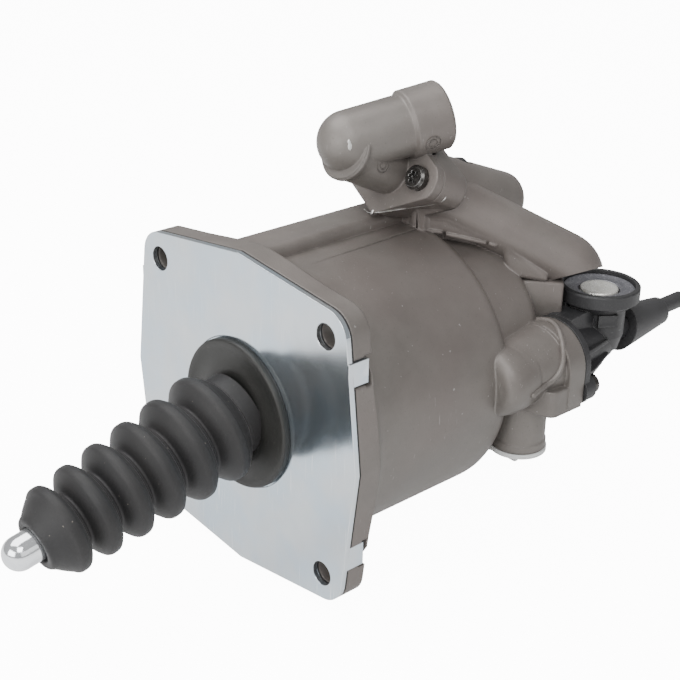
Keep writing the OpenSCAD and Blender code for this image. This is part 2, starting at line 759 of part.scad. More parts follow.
module elbow_oring() {
    color([0.06, 0.06, 0.06]) at_inlet() translate([0, 0, 0.95]) {
        rotate_extrude($fn = 64) translate([6.5, 0]) circle(r = 0.95, $fn = 24);
    }
}

// A six-lobed driver recess, depth d, with its mouth at z = 0
module driver_recess(r, d) {
    translate([0, 0, -d]) cylinder(h = d + 1, r = r * 0.74, $fn = 32);
    for (a = [0 : 60 : 300]) {
        rotate([0, 0, a]) translate([r * 0.74, 0, -d]) cylinder(h = d + 1, r = r * 0.26, $fn = 16);
    }
}

module elbow_screws() {
    color([0.20, 0.20, 0.20]) at_inlet() for (sx = [-1, 1]) {
        translate([sx * inlet_screw_x, 0, 0]) difference() {
            union() {
                translate([0, 0, -12]) cylinder(h = 13 + elbow_plate_t, r = screw_hole_r - 0.02);
                translate([0, 0, elbow_plate_t]) cylinder(h = 3, r = 5.2);
                translate([0, 0, elbow_plate_t + 3]) cylinder(h = 1, r1 = 5.2, r2 = 4.2);
            }
            translate([0, 0, elbow_plate_t + 4]) driver_recess(2.8, 2.4);
        }
    }
}

module at_valve() {
    translate([valve_x, 0, valve_z]) children();
}

module relay_piston() {
    r = valve_bore_r - running_gap;
    color([0.72, 0.72, 0.70]) at_valve() lathe([
        [0, valve_bore_start + 0.1], [4, valve_bore_start + 0.1], [4, relay_front], [r, relay_front],
        [r, relay_front + 1.2], [r - 2, relay_front + 1.2], [r - 2, relay_front + 3.4], [r, relay_front + 3.4],
        [r, relay_front + relay_head], [3, relay_front + relay_head], [3, valve_seat_y + valve_seat_t - 0.2],
        [0, valve_seat_y + valve_seat_t - 0.2]]);
}

module relay_seal() {
    r = valve_bore_r - running_gap;
    color([0.07, 0.07, 0.07]) at_valve() translate([0, relay_front + 2.3, 0]) rotate([-90, 0, 0]) {
        rotate_extrude($fn = 64) translate([r - 1, 0]) circle(r = 1, $fn = 24);
    }
}

module relay_spring() {
    color([0.45, 0.46, 0.48]) at_valve() {
        coil(relay_front + relay_head + 0.05, valve_seat_y - 0.05, 5.4, 5.4, 0.35, 2, 24, 6);
    }
}

module inlet_valve_seat() {
    color([0.70, 0.58, 0.32]) at_valve() difference() {
        along_y(valve_seat_y, valve_seat_y + valve_seat_t, valve_bore_r - 0.02);
        along_y(valve_seat_y - 1, valve_seat_y + valve_seat_t + 1, 5);
    }
}

module inlet_valve() {
    front = valve_seat_y + valve_seat_t + 0.02;
    color([0.25, 0.25, 0.27]) at_valve() difference() {
        lathe([
            [0, front], [6.5, front], [6.5, front + 2.5], [2.5, front + 3], [2.5, guide_y + 5], [0, guide_y + 5]]);
        along_y(front - 1, guide_y + 6, 1.2);
    }
}

module inlet_valve_spring() {
    front = valve_seat_y + valve_seat_t + 3.1;
    color([0.45, 0.46, 0.48]) at_valve() coil(front, guide_y - 0.05, 4, 4, 0.45, 4, 24, 6);
}

module at_cup() {
    translate([cup_x, cup_y, 0]) children();
}

module vent_body() {
    color([0.07, 0.07, 0.07]) difference() {
        union() {
            upright(vent_y, vent_back) {
                block_outline();
                for (p = vent_screw_at) {
                    translate([valve_x + p[0], valve_z + p[1]]) circle(r = 6.2);
                }
            }
            for (p = vent_screw_at) {
                along_y(vent_y, vent_back + vent_lug_t, 6.2, x = valve_x + p[0], z = valve_z + p[1]);
            }
            at_valve() along_y(guide_y, vent_y + 1, valve_bore_r - 0.03);
                at_valve() along_y(vent_back - 0.5, cup_y, 13.5, 9.2);
            translate([valve_x, cup_y, 3]) cylinder(h = 7, r1 = stem_r - 2, r2 = stem_r);
            translate([valve_x, cup_y, 9.9]) cylinder(h = cup_floor - 13, r = stem_r);
            translate([valve_x, 0, spout_z]) along_y(cup_y, cup_y + 24, 5.5);
            at_cup() rotate_extrude() polygon([
                [0, cup_floor - 8], [stem_r + 2, cup_floor - 5.5], [cup_r - 1.2, cup_top - 7],
                [cup_r, cup_top - 6], [cup_r, cup_top - 0.6], [cup_r - 0.6, cup_top],
                [cup_r - 2.3, cup_top], [cup_r - 2.3, cup_floor], [0, cup_floor]]);
            translate([cup_x - 6, 0, 0]) rotate([90, 0, 90]) linear_extrude(12) polygon([
                [vent_y + 0.5, valve_z + 5], [vent_y + 0.5, valve_z + 15], [vent_y + 6, cup_top - 9],
                [cup_y - 14, cup_top - 8], [cup_y - 5, cup_floor - 4], [cup_y - 5, valve_z]]);
        }
        at_valve() along_y(guide_y - 1, vent_back, 2.6);
        at_valve() along_y(vent_back - 1, cup_y, 5);
        translate([valve_x, cup_y, 5.5]) cylinder(h = cup_floor - 10, r = stem_r - 4);
        translate([valve_x, 0, spout_z]) along_y(cup_y, cup_y + 25, 3.2);
        for (p = vent_screw_at) {
            along_y(vent_y - 1, vent_back + 9, clearance_hole_r, x = valve_x + p[0], z = valve_z + p[1]);
            along_y(vent_back + vent_lug_t, vent_back + 12, 5.6, x = valve_x + p[0], z = valve_z + p[1]);
        }
    }
}

module vent_gasket() {
    color([0.30, 0.30, 0.32]) difference() {
        upright(block_end, vent_y) block_outline(0.3);
        along_y(block_end - 1, vent_y + 1, valve_bore_r, x = valve_x, z = valve_z);
        for (p = vent_screw_at) {
            along_y(block_end - 1, vent_y + 1, clearance_hole_r, x = valve_x + p[0], z = valve_z + p[1]);
        }
    }
}

module vent_screws() {
    color([0.25, 0.25, 0.25]) for (p = vent_screw_at) {
        translate([valve_x + p[0], vent_back + vent_lug_t, valve_z + p[1]]) rotate([-90, 0, 0]) difference() {
            union() {
                translate([0, 0, -17]) cylinder(h = 18, r = screw_hole_r - 0.02);
                cylinder(h = 4.2, r = 4.6);
                translate([0, 0, 4.2]) cylinder(h = 0.8, r1 = 4.6, r2 = 3.8);
            }
            translate([0, 0, 5]) driver_recess(2.6, 2.6);
        }
    }
}

module vent_ring() {
    color([0.45, 0.45, 0.46]) at_cup() difference() {
        translate([0, 0, cup_floor]) cylinder(h = cup_depth - 1.5, r = cup_r - 2.5);
        translate([0, 0, cup_floor - 1]) cylinder(h = cup_depth + 1, r = 8.8);
        for (a = [30 : 60 : 330]) {
            rotate([0, 0, a]) translate([10.4, -1.2, cup_top - 3]) cube([3.6, 2.4, 3]);
        }
    }
}

module vent_button() {
    color([0.78, 0.79, 0.80]) at_cup() {
        translate([0, 0, cup_floor]) cylinder(h = cup_depth - 1.4, r = 8.6);
        translate([0, 0, cup_top - 1.4]) cylinder(h = 0.6, r1 = 8.4, r2 = 7.6);
    }
}

module vent_spout() {
    near = cup_y + stem_r + 1;
    step = cup_y + 45;
    color([0.08, 0.08, 0.08]) translate([valve_x, 0, spout_z]) difference() {
        union() {
            along_y(near, step, 10.3, 6.6);
            along_y(step - 12, step + 17.5, 3.9, x = 0, z = 1.2);
        }
        along_y(near - 1, cup_y + 24.1, 5.55);
        along_y(cup_y + 24, cup_y + 64, 2.3, x = 0, z = 1.2);
        translate([-15, near + 3.2, 0]) rotate([-20, 0, 0]) translate([0, -12, -30]) cube([30, 12, 60]);
    }
}

module port_plug() {
    color([0.88, 0.88, 0.86]) translate([port_x, port_y, -port_drop]) {
        translate([0, 0, -2.2]) cylinder(h = 2.1, r = port_r + 1);
        difference() {
            translate([0, 0, -0.2]) cylinder(h = 12, d = port_bore_d - 0.1);
            translate([0, 0, 1]) cylinder(h = 12, d = port_bore_d - 3.5);
        }
        rotate([0, 0, -35]) translate([-port_r - 5, -2.5, -2.2]) cube([6, 5, 1.6]);
    }
}

module bleed_screw() {
    color([0.60, 0.60, 0.58]) translate([bleed_x, bleed_y, bleed_z]) difference() {
        union() {
            translate([0, 0, -11]) cylinder(h = 11.5, r = 2.95);
            translate([0, 0, 0.1]) cylinder(h = 2.6, r = 4.4, $fn = 6);
            translate([0, 0, 2.5]) cylinder(h = 4.5, r = 2.6);
        }
        translate([0, 0, -8]) cylinder(h = 16, r = 1);
    }
}

module bleed_cap() {
    color([0.08, 0.08, 0.08]) translate([bleed_x, bleed_y, bleed_z + 2.8]) difference() {
        union() {
            cylinder(h = 1.4, r = 4.8);
            cylinder(h = 4.2, r = 4);
            translate([0, 0, 4.2]) cylinder(h = 1.2, r1 = 4, r2 = 2.8);
        }
        translate([0, 0, -1]) cylinder(h = 5.3, r = 2.65);
    }
}

housing();
cover_plate();
cover_gasket();
boot();
pushrod();
ball_seat();
rod_clip();
air_piston();
piston_lip_seal();
piston_guide_ring();
preload_spring();
plunger();
plunger_seal();
plunger_bush();
plunger_circlip();
elbow();
elbow_oring();
elbow_screws();
relay_piston();
relay_seal();
relay_spring();
inlet_valve();
inlet_valve_seat();
inlet_valve_spring();
vent_body();
vent_gasket();
vent_screws();
vent_ring();
vent_button();
vent_spout();
port_plug();
bleed_screw();
bleed_cap();
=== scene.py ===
import math
import bmesh
import bpy
from mathutils import Matrix, Vector
from mathutils.bvhtree import BVHTree


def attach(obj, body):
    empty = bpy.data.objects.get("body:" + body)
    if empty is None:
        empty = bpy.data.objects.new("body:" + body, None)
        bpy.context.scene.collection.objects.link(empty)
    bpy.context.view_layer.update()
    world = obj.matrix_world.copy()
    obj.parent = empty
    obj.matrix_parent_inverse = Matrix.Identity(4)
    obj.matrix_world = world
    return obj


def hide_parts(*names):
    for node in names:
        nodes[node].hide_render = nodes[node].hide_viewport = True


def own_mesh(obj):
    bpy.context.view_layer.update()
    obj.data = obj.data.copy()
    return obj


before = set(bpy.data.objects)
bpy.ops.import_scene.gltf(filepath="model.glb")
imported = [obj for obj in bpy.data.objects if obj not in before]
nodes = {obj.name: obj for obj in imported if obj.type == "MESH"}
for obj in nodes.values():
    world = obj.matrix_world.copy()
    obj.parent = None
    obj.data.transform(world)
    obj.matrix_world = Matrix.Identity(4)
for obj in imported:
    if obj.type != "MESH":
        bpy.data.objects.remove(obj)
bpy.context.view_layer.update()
print("frame loaded:", len(nodes), "nodes")

view = dict(cameraPlace=(0.39911, -0.31550, 0.26470), azimuth=47.078, elevation=24.506, roll=1.232, lens=73.74,
            sensor=36, picture=680)


def newNode(tree, kind, **values):
    node = tree.nodes.new(kind)
    for key, value in values.items():
        setattr(node, key, value)
    return node


def noiseOn(tree, coords, scale, detail=4.0, roughness=0.55, stretch=(1, 1, 1), turn=(0, 0, 0)):
    mapping = newNode(tree, "ShaderNodeMapping")
    mapping.inputs["Rotation"].default_value = turn
    mapping.inputs["Scale"].default_value = stretch
    tree.links.new(coords.outputs["Object"], mapping.inputs["Vector"])
    noise = newNode(tree, "ShaderNodeTexNoise")
    noise.inputs["Scale"].default_value = scale
    noise.inputs["Detail"].default_value = detail
    noise.inputs["Roughness"].default_value = roughness
    tree.links.new(mapping.outputs["Vector"], noise.inputs["Vector"])
    return noise.outputs["Fac"]


def spread(tree, source, low, high, fromLow=0.3, fromHigh=0.7):
    ranged = newNode(tree, "ShaderNodeMapRange")
    ranged.inputs["From Min"].default_value = fromLow
    ranged.inputs["From Max"].default_value = fromHigh
    ranged.inputs["To Min"].default_value = low
    ranged.inputs["To Max"].default_value = high
    tree.links.new(source, ranged.inputs["Value"])
    return ranged.outputs["Result"]


def calculate(tree, operation, first, second):
    node = newNode(tree, "ShaderNodeMath", operation=operation)
    for socket, value in ((node.inputs[0], first), (node.inputs[1], second)):
        if hasattr(value, "is_linked"):
            tree.links.new(value, socket)
        else:
            socket.default_value = value
    return node.outputs[0]


def blendColors(tree, mask, first, second):
    mix = newNode(tree, "ShaderNodeMix", data_type="RGBA")
    for socket, value in ((mix.inputs[6], first), (mix.inputs[7], second)):
        if hasattr(value, "is_linked"):
            tree.links.new(value, socket)
        else:
            socket.default_value = (*value, 1.0)
    tree.links.new(mask, mix.inputs[0])
    return mix.outputs[2]


def roundedNormal(tree, radius):
    rounded = newNode(tree, "ShaderNodeBevel", samples=6)
    rounded.inputs["Radius"].default_value = radius
    return rounded.outputs["Normal"]


def edgeWearAndHighlightMask(tree, radius):
    # how far the rounded normal turns away from the true one: edge wear and painted edge highlights
    geometry = newNode(tree, "ShaderNodeNewGeometry")
    turn = newNode(tree, "ShaderNodeVectorMath", operation="DOT_PRODUCT")
    tree.links.new(roundedNormal(tree, radius), turn.inputs[0])
    tree.links.new(geometry.outputs["Normal"], turn.inputs[1])
    return spread(tree, turn.outputs["Value"], 1.0, 0.0, 0.86, 0.995)


def scratchMask(tree, coords, look):
    # long thin noise, cut high, lying two ways: handling marks
    marks = None
    for turn in look["scratchTurns"]:
        line = noiseOn(tree, coords, look["scratchScale"], 2.0, 0.5, look["scratchStretch"], turn)
        cut = spread(tree, line, 0.0, 1.0, look["scratchAt"], look["scratchAt"] + 0.025)
        marks = cut if marks is None else calculate(tree, "MAXIMUM", marks, cut)
    patch = noiseOn(tree, coords, look.get("scratchPatch", 30.0), 2.0, 0.5)
    return calculate(tree, "MULTIPLY", marks, spread(tree, patch, 0.0, look["scratch"], 0.45, 0.62))


def makeFinish(name, look):
    material = bpy.data.materials.new(name)
    material.use_nodes = True
    tree = material.node_tree
    tree.nodes.clear()
    out = newNode(tree, "ShaderNodeOutputMaterial")
    shader = newNode(tree, "ShaderNodeBsdfPrincipled")
    tree.links.new(shader.outputs[0], out.inputs[0])
    coords = newNode(tree, "ShaderNodeTexCoord")
    shader.inputs["Metallic"].default_value = look.get("metallic", 0.0)
    shader.inputs["Specular IOR Level"].default_value = look.get("specular", 0.5)
    shader.inputs["Sheen Weight"].default_value = look.get("sheen", 0.0)
    shader.inputs["Sheen Roughness"].default_value = 0.4
    shader.inputs["Subsurface Weight"].default_value = look.get("inside", 0.0)
    shader.inputs["Subsurface Radius"].default_value = (0.004, 0.004, 0.004)
    blotch = noiseOn(tree, coords, look["blotchScale"], 5.0, 0.6)
    color = blendColors(tree, spread(tree, blotch, 0, 1), look["color"], look["secondColor"])
    if "tintColor" in look:
        cloud = noiseOn(tree, coords, look["tintScale"], 3.0, 0.5)
        color = blendColors(tree, spread(tree, cloud, 0, look["tint"], 0.42, 0.6), color, look["tintColor"])
    grain = noiseOn(tree, coords, look["grainScale"], 3.0, 0.6, look.get("stretch", (1, 1, 1)))
    if "speckleColor" in look:
        low, high = look.get("speckleAt", (0.62, 0.72))
        dots = spread(tree, grain, 0, look.get("speckle", 0.5), low, high)
        color = blendColors(tree, dots, color, look["speckleColor"])
    if "dustColor" in look:
        dust = noiseOn(tree, coords, look["dustScale"], 2.0, 0.5)
        grains = spread(tree, dust, 0, look["dust"], look["dustAt"], look["dustAt"] + 0.03)
        color = blendColors(tree, grains, color, look["dustColor"])
    height = grain
    if "scratch" in look:
        marks = scratchMask(tree, coords, look)
        color = blendColors(tree, marks, color, look["scratchColor"])
        height = calculate(tree, "SUBTRACT", grain, marks)
    # lighter colour along the edges: partly wear, partly painted edge highlights
    if "edgeWearAndHighlightColor" in look:
        patchy = noiseOn(tree, coords, look.get("edgePatch", 220.0), 4.0, 0.7)
        wornAndHighlit = calculate(tree, "MULTIPLY", edgeWearAndHighlightMask(tree, look.get("edgeRadius", 0.0006)),
                         spread(tree, patchy, 0.1, look.get("edgeWearAndHighlight", 0.8), 0.4, 0.65))
        color = blendColors(tree, wornAndHighlit, color, look["edgeWearAndHighlightColor"])
    tree.links.new(color, shader.inputs["Base Color"])
    low, high = look["roughness"]
    tree.links.new(spread(tree, blotch, low, high), shader.inputs["Roughness"])
    bump = newNode(tree, "ShaderNodeBump")
    bump.inputs["Strength"].default_value = look.get("bump", 0.2)
    bump.inputs["Distance"].default_value = look.get("bumpDepth", 0.0002)
    tree.links.new(height, bump.inputs["Height"])
    if "softEdge" in look:
        tree.links.new(roundedNormal(tree, look["softEdge"]), bump.inputs["Normal"])
    tree.links.new(bump.outputs[0], shader.inputs["Normal"])
    return material


finishes = {
    "castAluminium": dict(
        color=(0.150, 0.136, 0.125), secondColor=(0.208, 0.192, 0.177), metallic=0.3, roughness=(0.38, 0.54),
        tintColor=(0.170, 0.141, 0.131), tint=0.5, tintScale=14.0, softEdge=0.0013,
        blotchScale=34.0, grainScale=1100.0, bump=0.4, bumpDepth=0.00015, speckleColor=(0.12, 0.11, 0.10),
        # the lighter edge colour is partly wear, partly a painted edge highlight
        speckle=0.5, edgeWearAndHighlightColor=(0.34, 0.32, 0.30), edgeWearAndHighlight=0.5, dustColor=(0.42, 0.41, 0.39), dustScale=420.0,
        dust=0.6, dustAt=0.735, scratch=0.4, scratchColor=(0.42, 0.41, 0.39), scratchScale=90.0, scratchAt=0.715,
        scratchStretch=(12, 12, 1), scratchTurns=((0.2, 0, 0.2), (-0.3, 0.3, 0))),
    "zincSteel": dict(
        color=(0.66, 0.70, 0.73), secondColor=(0.60, 0.65, 0.69), metallic=0.95, roughness=(0.13, 0.19),
        tintColor=(0.50, 0.64, 0.76), tint=0.45, tintScale=34.0, blotchScale=60.0, grainScale=700.0,
        # the near-white edge colour is partly wear, partly a painted edge highlight
        bump=0.06, bumpDepth=0.0001, edgeWearAndHighlightColor=(0.90, 0.92, 0.94), edgeWearAndHighlight=0.9, edgePatch=60.0, softEdge=0.0005,
        scratch=0.55, scratchColor=(0.88, 0.90, 0.92), scratchScale=34.0, scratchAt=0.665,
        scratchStretch=(26, 1, 1.2), scratchTurns=((0, 0.75, 0), (0, -0.6, 0), (0, 0.1, 0))),
    "blackGasket": dict(
        color=(0.012, 0.012, 0.012), secondColor=(0.02, 0.02, 0.02), roughness=(0.6, 0.8),
        blotchScale=120.0, grainScale=900.0),
    "bootRubber": dict(
        color=(0.016, 0.016, 0.017), secondColor=(0.023, 0.022, 0.022), roughness=(0.52, 0.64),
        blotchScale=40.0, grainScale=2200.0, bump=0.3, bumpDepth=0.0001, sheen=0.06, specular=0.42,
        speckleColor=(0.07, 0.066, 0.06), speckle=0.22, dustColor=(0.22, 0.20, 0.17), dustScale=520.0,
        dust=0.7, dustAt=0.745),
    "flangeRubber": dict(
        color=(0.013, 0.013, 0.012), secondColor=(0.020, 0.020, 0.018), roughness=(0.42, 0.56),
        blotchScale=40.0, grainScale=2200.0, bump=0.3, bumpDepth=0.0001, sheen=0.03, specular=0.45,
        speckleColor=(0.05, 0.048, 0.04), speckle=0.25, dustColor=(0.20, 0.18, 0.15), dustScale=520.0,
        dust=0.6, dustAt=0.75),
    "rodSteel": dict(
        color=(0.92, 0.94, 0.96), secondColor=(0.80, 0.82, 0.85), metallic=0.9, roughness=(0.08, 0.16),
        blotchScale=180.0, grainScale=900.0, bump=0.08, scratch=0.5, scratchColor=(0.4, 0.42, 0.44),
        scratchScale=150.0, scratchAt=0.66, scratchStretch=(20, 1, 20), scratchTurns=((0.1, 0, 0), (0.5, 0, 0.5))),
    "paleNylon": dict(
        color=(0.70, 0.67, 0.56), secondColor=(0.62, 0.60, 0.50), roughness=(0.4, 0.5),
        blotchScale=60.0, grainScale=800.0),
    "springSteel": dict(
        color=(0.25, 0.26, 0.28), secondColor=(0.18, 0.18, 0.20), metallic=0.9, roughness=(0.3, 0.45),
        blotchScale=120.0, grainScale=1200.0),
    "pistonAluminium": dict(
        color=(0.55, 0.56, 0.57), secondColor=(0.48, 0.49, 0.50), metallic=0.9, roughness=(0.28, 0.4),
        blotchScale=60.0, grainScale=900.0, stretch=(1, 12, 1)),
    "sealRubber": dict(
        color=(0.014, 0.014, 0.014), secondColor=(0.024, 0.024, 0.024), roughness=(0.35, 0.5),
        blotchScale=90.0, grainScale=1500.0),
    "bushBronze": dict(
        color=(0.42, 0.28, 0.12), secondColor=(0.34, 0.22, 0.09), metallic=0.9, roughness=(0.3, 0.4),
        blotchScale=70.0, grainScale=900.0),
    "oiledScrew": dict(
        color=(0.050, 0.048, 0.046), secondColor=(0.12, 0.115, 0.11), metallic=0.85, roughness=(0.14, 0.36),
        # the light edge colour on the dark screws is partly wear, partly a painted edge highlight
        blotchScale=420.0, grainScale=1200.0, edgeWearAndHighlightColor=(0.55, 0.55, 0.55), edgeRadius=0.0004, softEdge=0.0004),
    "blackPlastic": dict(
        color=(0.022, 0.022, 0.023), secondColor=(0.031, 0.031, 0.033), roughness=(0.40, 0.52),
        blotchScale=90.0, grainScale=2400.0, bump=0.2, bumpDepth=0.0001, softEdge=0.0006,
        # the lighter edge colour is partly wear, partly a painted edge highlight
        edgeWearAndHighlightColor=(0.12, 0.12, 0.12), edgeWearAndHighlight=0.6, speckleColor=(0.08, 0.08, 0.08), speckle=0.25,
        scratch=0.5, scratchColor=(0.14, 0.14, 0.14), scratchScale=90.0, scratchAt=0.69,
        scratchStretch=(12, 1, 12), scratchTurns=((0.6, 0.2, 0), (1.7, 0, 0.4))),
    "ringMetal": dict(
        color=(0.24, 0.24, 0.26), secondColor=(0.15, 0.15, 0.17), metallic=0.7, roughness=(0.35, 0.5),
        blotchScale=240.0, grainScale=1500.0, speckleColor=(0.45, 0.45, 0.47), speckle=0.8,
        speckleAt=(0.56, 0.64)),
    "buttonMetal": dict(
        color=(0.92, 0.92, 0.88), secondColor=(0.72, 0.70, 0.64), metallic=0.6, roughness=(0.20, 0.42),
        blotchScale=420.0, grainScale=900.0, speckleColor=(0.22, 0.21, 0.19), speckle=0.8,
        bump=0.5, bumpDepth=0.0004),
    "spoutRubber": dict(
        color=(0.034, 0.034, 0.035), secondColor=(0.045, 0.045, 0.047), roughness=(0.42, 0.54),
        blotchScale=80.0, grainScale=2000.0, bump=0.2, softEdge=0.0008, dustColor=(0.16, 0.16, 0.16),
        dustScale=600.0, dust=0.6, dustAt=0.74),
    "plugPlastic": dict(
        color=(0.80, 0.81, 0.80), secondColor=(0.72, 0.73, 0.72), roughness=(0.3, 0.4),
        blotchScale=60.0, grainScale=700.0, inside=0.3),
    # bright metal for the seam and the chipped spots: partly bare wear, partly painted highlights of an edge and a dent
    "bareMetalAndGlint": dict(
        color=(0.78, 0.78, 0.76), secondColor=(0.50, 0.49, 0.47), metallic=0.8, roughness=(0.25, 0.45),
        blotchScale=300.0, grainScale=1500.0, bump=0.4),
    "capRubber": dict(
        color=(0.014, 0.014, 0.014), secondColor=(0.022, 0.022, 0.022), roughness=(0.45, 0.6),
        blotchScale=90.0, grainScale=1800.0),
}
finish = {name: makeFinish(name, look) for name, look in finishes.items()}

finishOfNode = {
    "housing": "castAluminium", "elbow": "castAluminium", "cover_plate": "zincSteel", "cover_gasket": "blackGasket",
    "boot": "bootRubber", "pushrod": "rodSteel", "ball_seat": "paleNylon", "rod_clip": "springSteel",
    "air_piston": "pistonAluminium", "piston_lip_seal": "sealRubber", "piston_guide_ring": "paleNylon",
    "preload_spring": "springSteel", "plunger": "rodSteel", "plunger_seal": "sealRubber",
    "plunger_bush": "bushBronze", "plunger_circlip": "springSteel", "elbow_oring": "sealRubber",
    "elbow_screws": "oiledScrew", "relay_piston": "pistonAluminium", "relay_seal": "sealRubber",
    "relay_spring": "springSteel", "inlet_valve": "blackPlastic", "inlet_valve_seat": "bushBronze",
    "inlet_valve_spring": "springSteel", "vent_body": "blackPlastic", "vent_gasket": "blackGasket",
    "vent_screws": "oiledScrew", "vent_ring": "ringMetal", "vent_button": "buttonMetal",
    "vent_spout": "spoutRubber", "port_plug": "plugPlastic", "bleed_screw": "zincSteel", "bleed_cap": "capRubber",
}


def dress(obj, material):
    obj.data.materials.clear()
    obj.data.materials.append(material)


for nodeName, finishName in finishOfNode.items():
    dress(nodes[nodeName], finish[finishName])
print("materials made:", len(finish))


def shadeSmooth(bm, sharpAngle):
    # soft shading, but sharp along open edges and folds above the angle
    for face in bm.faces:
        face.smooth = True
    for edge in bm.edges:
        edge.smooth = len(edge.link_faces) == 2 and edge.calc_face_angle(0.0) < math.radians(sharpAngle)


def addPiece(name, bm, material, body):
    mesh = bpy.data.meshes.new(name)
    bm.to_mesh(mesh)
    bm.free()
    obj = bpy.data.objects.new(name, mesh)
    bpy.context.scene.collection.objects.link(obj)
    dress(obj, material)
    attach(obj, body)
    return obj


def finishPiece(name, bm, material, body, sharpAngle):
    # outward normals and soft shading, then the piece joins its body
    bmesh.ops.recalc_face_normals(bm, faces=bm.faces)
    shadeSmooth(bm, sharpAngle)
    return addPiece(name, bm, material, body)


def pour(source, target):
    # adds all of one bmesh to another and frees the first
    mesh = bpy.data.meshes.new("poured")
    source.to_mesh(mesh)
    source.free()
    target.from_mesh(mesh)
    bpy.data.meshes.remove(mesh)


def thicken(bm, face, move):
    # draws one face out to a solid and returns its new points
    grown = bmesh.ops.extrude_face_region(bm, geom=[face])["geom"]
    verts = [g for g in grown if isinstance(g, bmesh.types.BMVert)]
    bmesh.ops.translate(bm, verts=verts, vec=move)
    return verts


def spinLoop(profile, origin, axis, steps, side=(1, 0, 0)):
    # a closed loop of (radius, distance) points, turned once about the axis
    origin, axis, side = Vector(origin), Vector(axis).normalized(), Vector(side).normalized()
    bm = bmesh.new()
    ring = [bm.verts.new(origin + side * radius + axis * along) for radius, along in profile]
    edges = [bm.edges.new((ring[i], ring[(i + 1) % len(ring)])) for i in range(len(ring))]
    bmesh.ops.spin(bm, geom=ring + edges, cent=origin, axis=axis, angle=2 * math.pi, steps=steps, use_merge=True)
    bmesh.ops.remove_doubles(bm, verts=bm.verts, dist=1e-6)
    return bm


def arcPoints(center, radius, start, end, count):
    return [(center[0] + radius * math.cos(math.radians(start + (end - start) * i / count)),
             center[1] + radius * math.sin(math.radians(start + (end - start) * i / count)))
            for i in range(count + 1)]


# lengths along the axis are from the flange, those of the nose are back from its front end
bellows = dict(
    folds=6, start=0.0156, pitch=0.0159, squeeze=0.00032, tilt=14.0, rise=0.0013, steps=112, travel=0.034,
    firstCrest=0.0235, lastCrest=0.0186, depth=0.0070, crestRound=0.0026, crestHalf=0.0006, crestTurn=58,
    valleyRound=0.0011, swell=0.00045, bead=((0.0013, 0.0015), (0.00175, 0.0016), (0.00195, 0.0020), (0.0020, 0.0024)),
    neck=0.0175, root=0.0010, neckSteps=((0, 0.0096), (0.0002, 0.0084)), fillet=(0.0001, 0.0074), filletRound=0.0006,
    noseLength=0.011, noseShoulder=(0.0114, 0.0014), noseSwell=0.0002, noseEdge=(0.0100, 0.0016), hole=0.0078,
    lip=((0.0004, 0), (0, 0.0004), (0, 0.0045)), wall=0.0018, crestWall=0.0023, innerNose=(0.0100, 0.0060),
    innerNeck=0.0080)


def foldAt(i):
    b = bellows
    return (b["start"] + b["pitch"] * i - b["squeeze"] * i * i) / math.cos(math.radians(b["tilt"]))


def crestAt(i):
    b = bellows
    return b["firstCrest"] + (b["lastCrest"] - b["firstCrest"]) * i / (b["folds"] - 1)


def flankPoints(first, second, swell, count=3):
    # a flank between two points that swells a little in the middle
    run = Vector(second) - Vector(first)
    out = Vector((run.y, -run.x)).normalized() if run.y > 0 else Vector((-run.y, run.x)).normalized()
    if out.x < 0:
        out = -out
    return [tuple(Vector(first) + run * (i / (count + 1)) + out * swell * math.sin(math.pi * i / (count + 1)))
            for i in range(1, count + 1)]


def valleyPoints(i):
    # the valley before fold i: the neck's fillet at the first, and a thin bead after each of the others
    b = bellows
    if i == 0:
        return arcPoints((b["neck"] - b["fillet"][0], foldAt(0) - b["fillet"][1]), b["filletRound"], 225, 330, 3)
    low, middle, turned = crestAt(i) - b["depth"], (foldAt(i - 1) + foldAt(i)) / 2, b["valleyRound"]
    return (arcPoints((low + turned, middle), turned, 240, 180, 3) + arcPoints((low + turned, middle), turned, 165, 120, 3)
            + [(low + out, middle + along) for out, along in b["bead"]])


def bellowsProfile():
    b = bellows
    outer = [(b["neck"], b["root"])] + [(b["neck"] - inward, foldAt(0) - back) for inward, back in b["neckSteps"]]
    for i in range(b["folds"]):
        outer += valleyPoints(i)
        middle, turn = crestAt(i) - b["crestRound"], b["crestTurn"]
        crest = arcPoints((middle, foldAt(i) - b["crestHalf"]), b["crestRound"], -turn, 0, 6)
        crest += arcPoints((middle, foldAt(i) + b["crestHalf"]), b["crestRound"], 0, turn, 6)
        outer += flankPoints(outer[-1], crest[0], b["swell"]) + crest
        if i < b["folds"] - 1:
            nextLow = crestAt(i + 1) - b["depth"]
            middle = (foldAt(i) + foldAt(i + 1)) / 2
            valley = (nextLow + b["valleyRound"] * 0.5, middle - b["valleyRound"] * 0.9)
            outer += flankPoints(outer[-1], valley, b["swell"])
    front = foldAt(b["folds"] - 1) + b["noseLength"]
    radius, back = b["noseShoulder"]
    outer += flankPoints(outer[-1], (radius, front - back), b["noseSwell"], 5)
    radius, back = b["noseEdge"]
    outer += arcPoints((radius, front - back), back, 30, 90, 5)
    outer += [(b["hole"] + out, front - along) for out, along in b["lip"]]
    inner = [(b["innerNose"][0], front - b["innerNose"][1])]
    for i in reversed(range(b["folds"])):
        inner.append((crestAt(i) - b["crestWall"], foldAt(i)))
        if i > 0:
            inner.append((crestAt(i) - b["depth"] - b["wall"], (foldAt(i - 1) + foldAt(i)) / 2))
    inner += [(b["neck"] - b["wall"], foldAt(0) - b["innerNeck"]), (b["neck"] - b["wall"], b["root"])]
    return outer + inner


